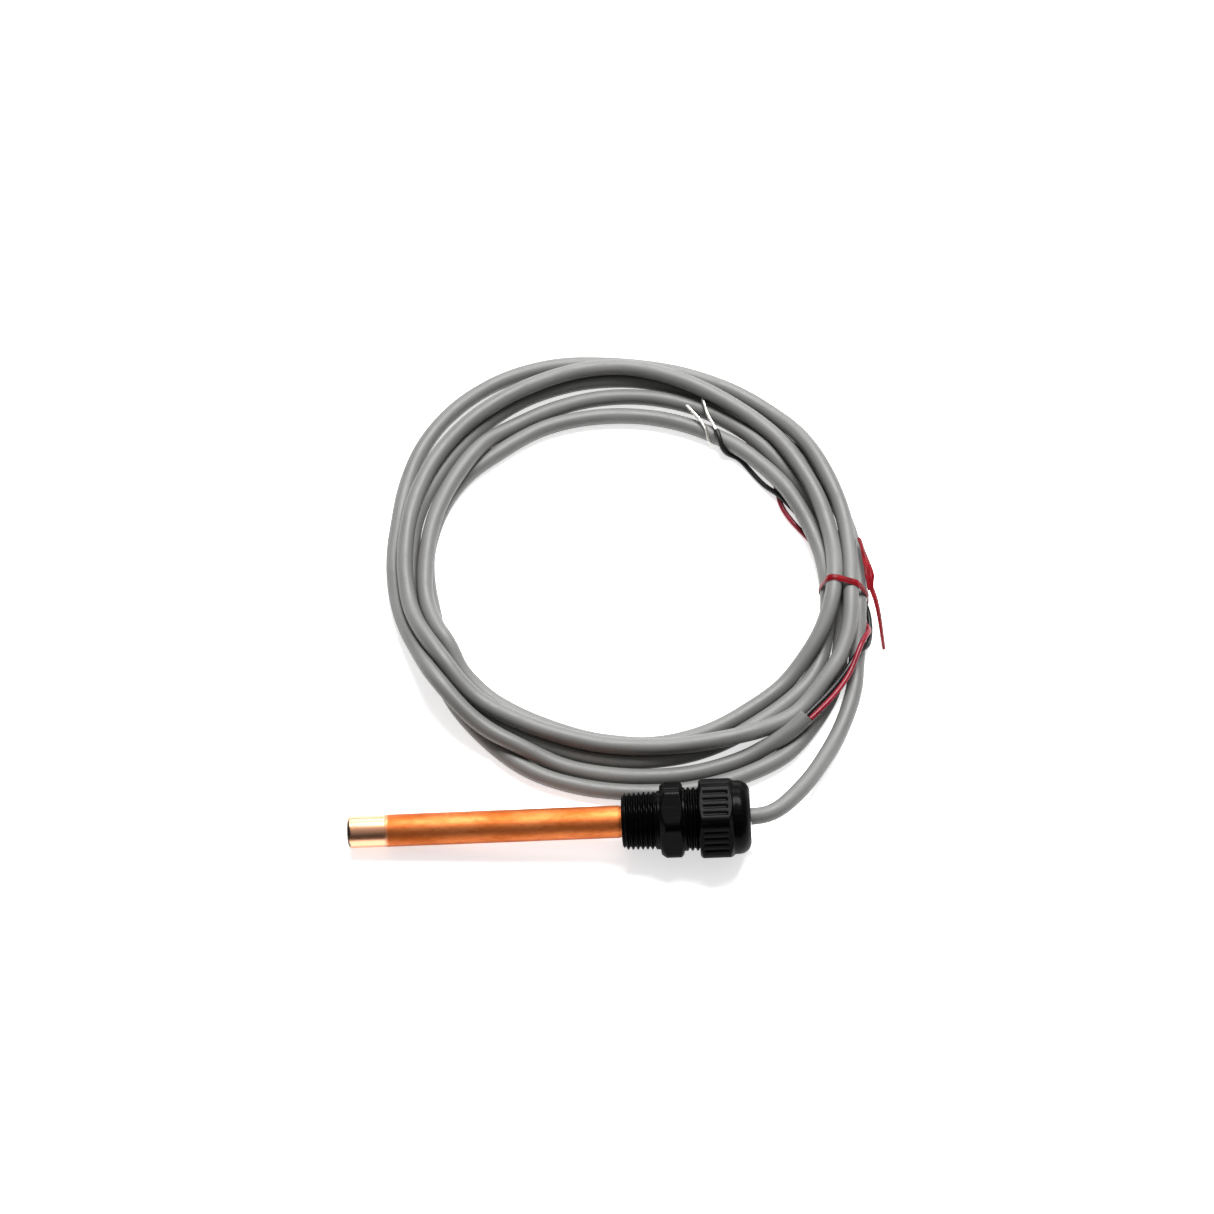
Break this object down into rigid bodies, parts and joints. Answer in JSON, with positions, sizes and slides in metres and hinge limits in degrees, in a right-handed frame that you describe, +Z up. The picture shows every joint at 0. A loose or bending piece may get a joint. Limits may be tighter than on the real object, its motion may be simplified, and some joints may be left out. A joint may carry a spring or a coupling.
{
  "type": "thermocouple probe with cable gland",
  "caption": "Closed copper temperature probe in a black nylon cable gland with a tapered pipe thread, and its grey two-core cable coiled and held by a red twist tie.",
  "frame": {"origin": "middle of the probe's length and width (sheath and gland), on the surface that it lies on", "axes": "+X along the probe from its tip to its cable outlet, which climbs 3.5 degrees from the surface; +Y towards the coiled cable; +Z up"},
  "size_m": [0.161, 0.1685, 0.0228],
  "materials": {
    "copper": "drawn copper, mottled brown, satin",
    "dark_end": "dark oxidised end, matt",
    "magnesia": "packed mineral fill, matt",
    "wire_metal": "bare alloy wire",
    "ceramic": "fired ceramic, matt",
    "tin": "tinned copper",
    "sleeving": "shrunk sleeving, satin",
    "red_insulation": "red wire insulation, satin gloss",
    "black_insulation": "black wire insulation, satin gloss",
    "epoxy": "set epoxy, satin",
    "black_nylon": "moulded black nylon, satin",
    "grommet_rubber": "moulded rubber, matt",
    "washer_nylon": "natural nylon",
    "grey_jacket": "grey vinyl jacket, satin",
    "red_tie": "red vinyl tie, gloss"
  },
  "bodies": {
    "probe": {"sheath_tube": "copper", "tip_plug": "dark_end", "tip_potting": "magnesia", "junction_bead": "wire_metal", "thermo_wire_positive": "wire_metal", "thermo_wire_negative": "wire_metal", "ceramic_beads": "ceramic", "splice_red": "tin", "splice_black": "tin", "splice_sleeve_red": "sleeving", "splice_sleeve_black": "sleeving", "inner_lead_red": "red_insulation", "inner_lead_black": "black_insulation", "sheath_mouth_seal": "epoxy", "gland_bond": "epoxy", "gland_body": "black_nylon", "sealing_grommet": "grommet_rubber", "cable_entry": "grey_jacket", "cable_run": "grey_jacket", "cable_coil": "grey_jacket", "lead_red": "red_insulation", "lead_black": "black_insulation", "tinned_end_red": "tin", "tinned_end_black": "tin", "twist_tie": "red_tie"},
    "washer": {"friction_washer": "washer_nylon"},
    "nut": {"clamp_nut": "black_nylon"}
  },
  "joints": [
    {"name": "nut_travel", "type": "slide", "parent": "probe", "child": "washer", "axis": [0.9982, 0, 0.0606], "range_m": [0, 0.0045]},
    {"name": "nut_turn", "type": "hinge", "parent": "washer", "child": "nut", "pos_m": [0.05852, 0, 0.01187], "axis": [0.9982, 0, 0.0606], "range_deg": [0, 1080]}
  ],
  "couplings": [
    {"joint": "nut_travel", "follows": "nut_turn", "m_per_rad": 0.00023873}
  ]
}
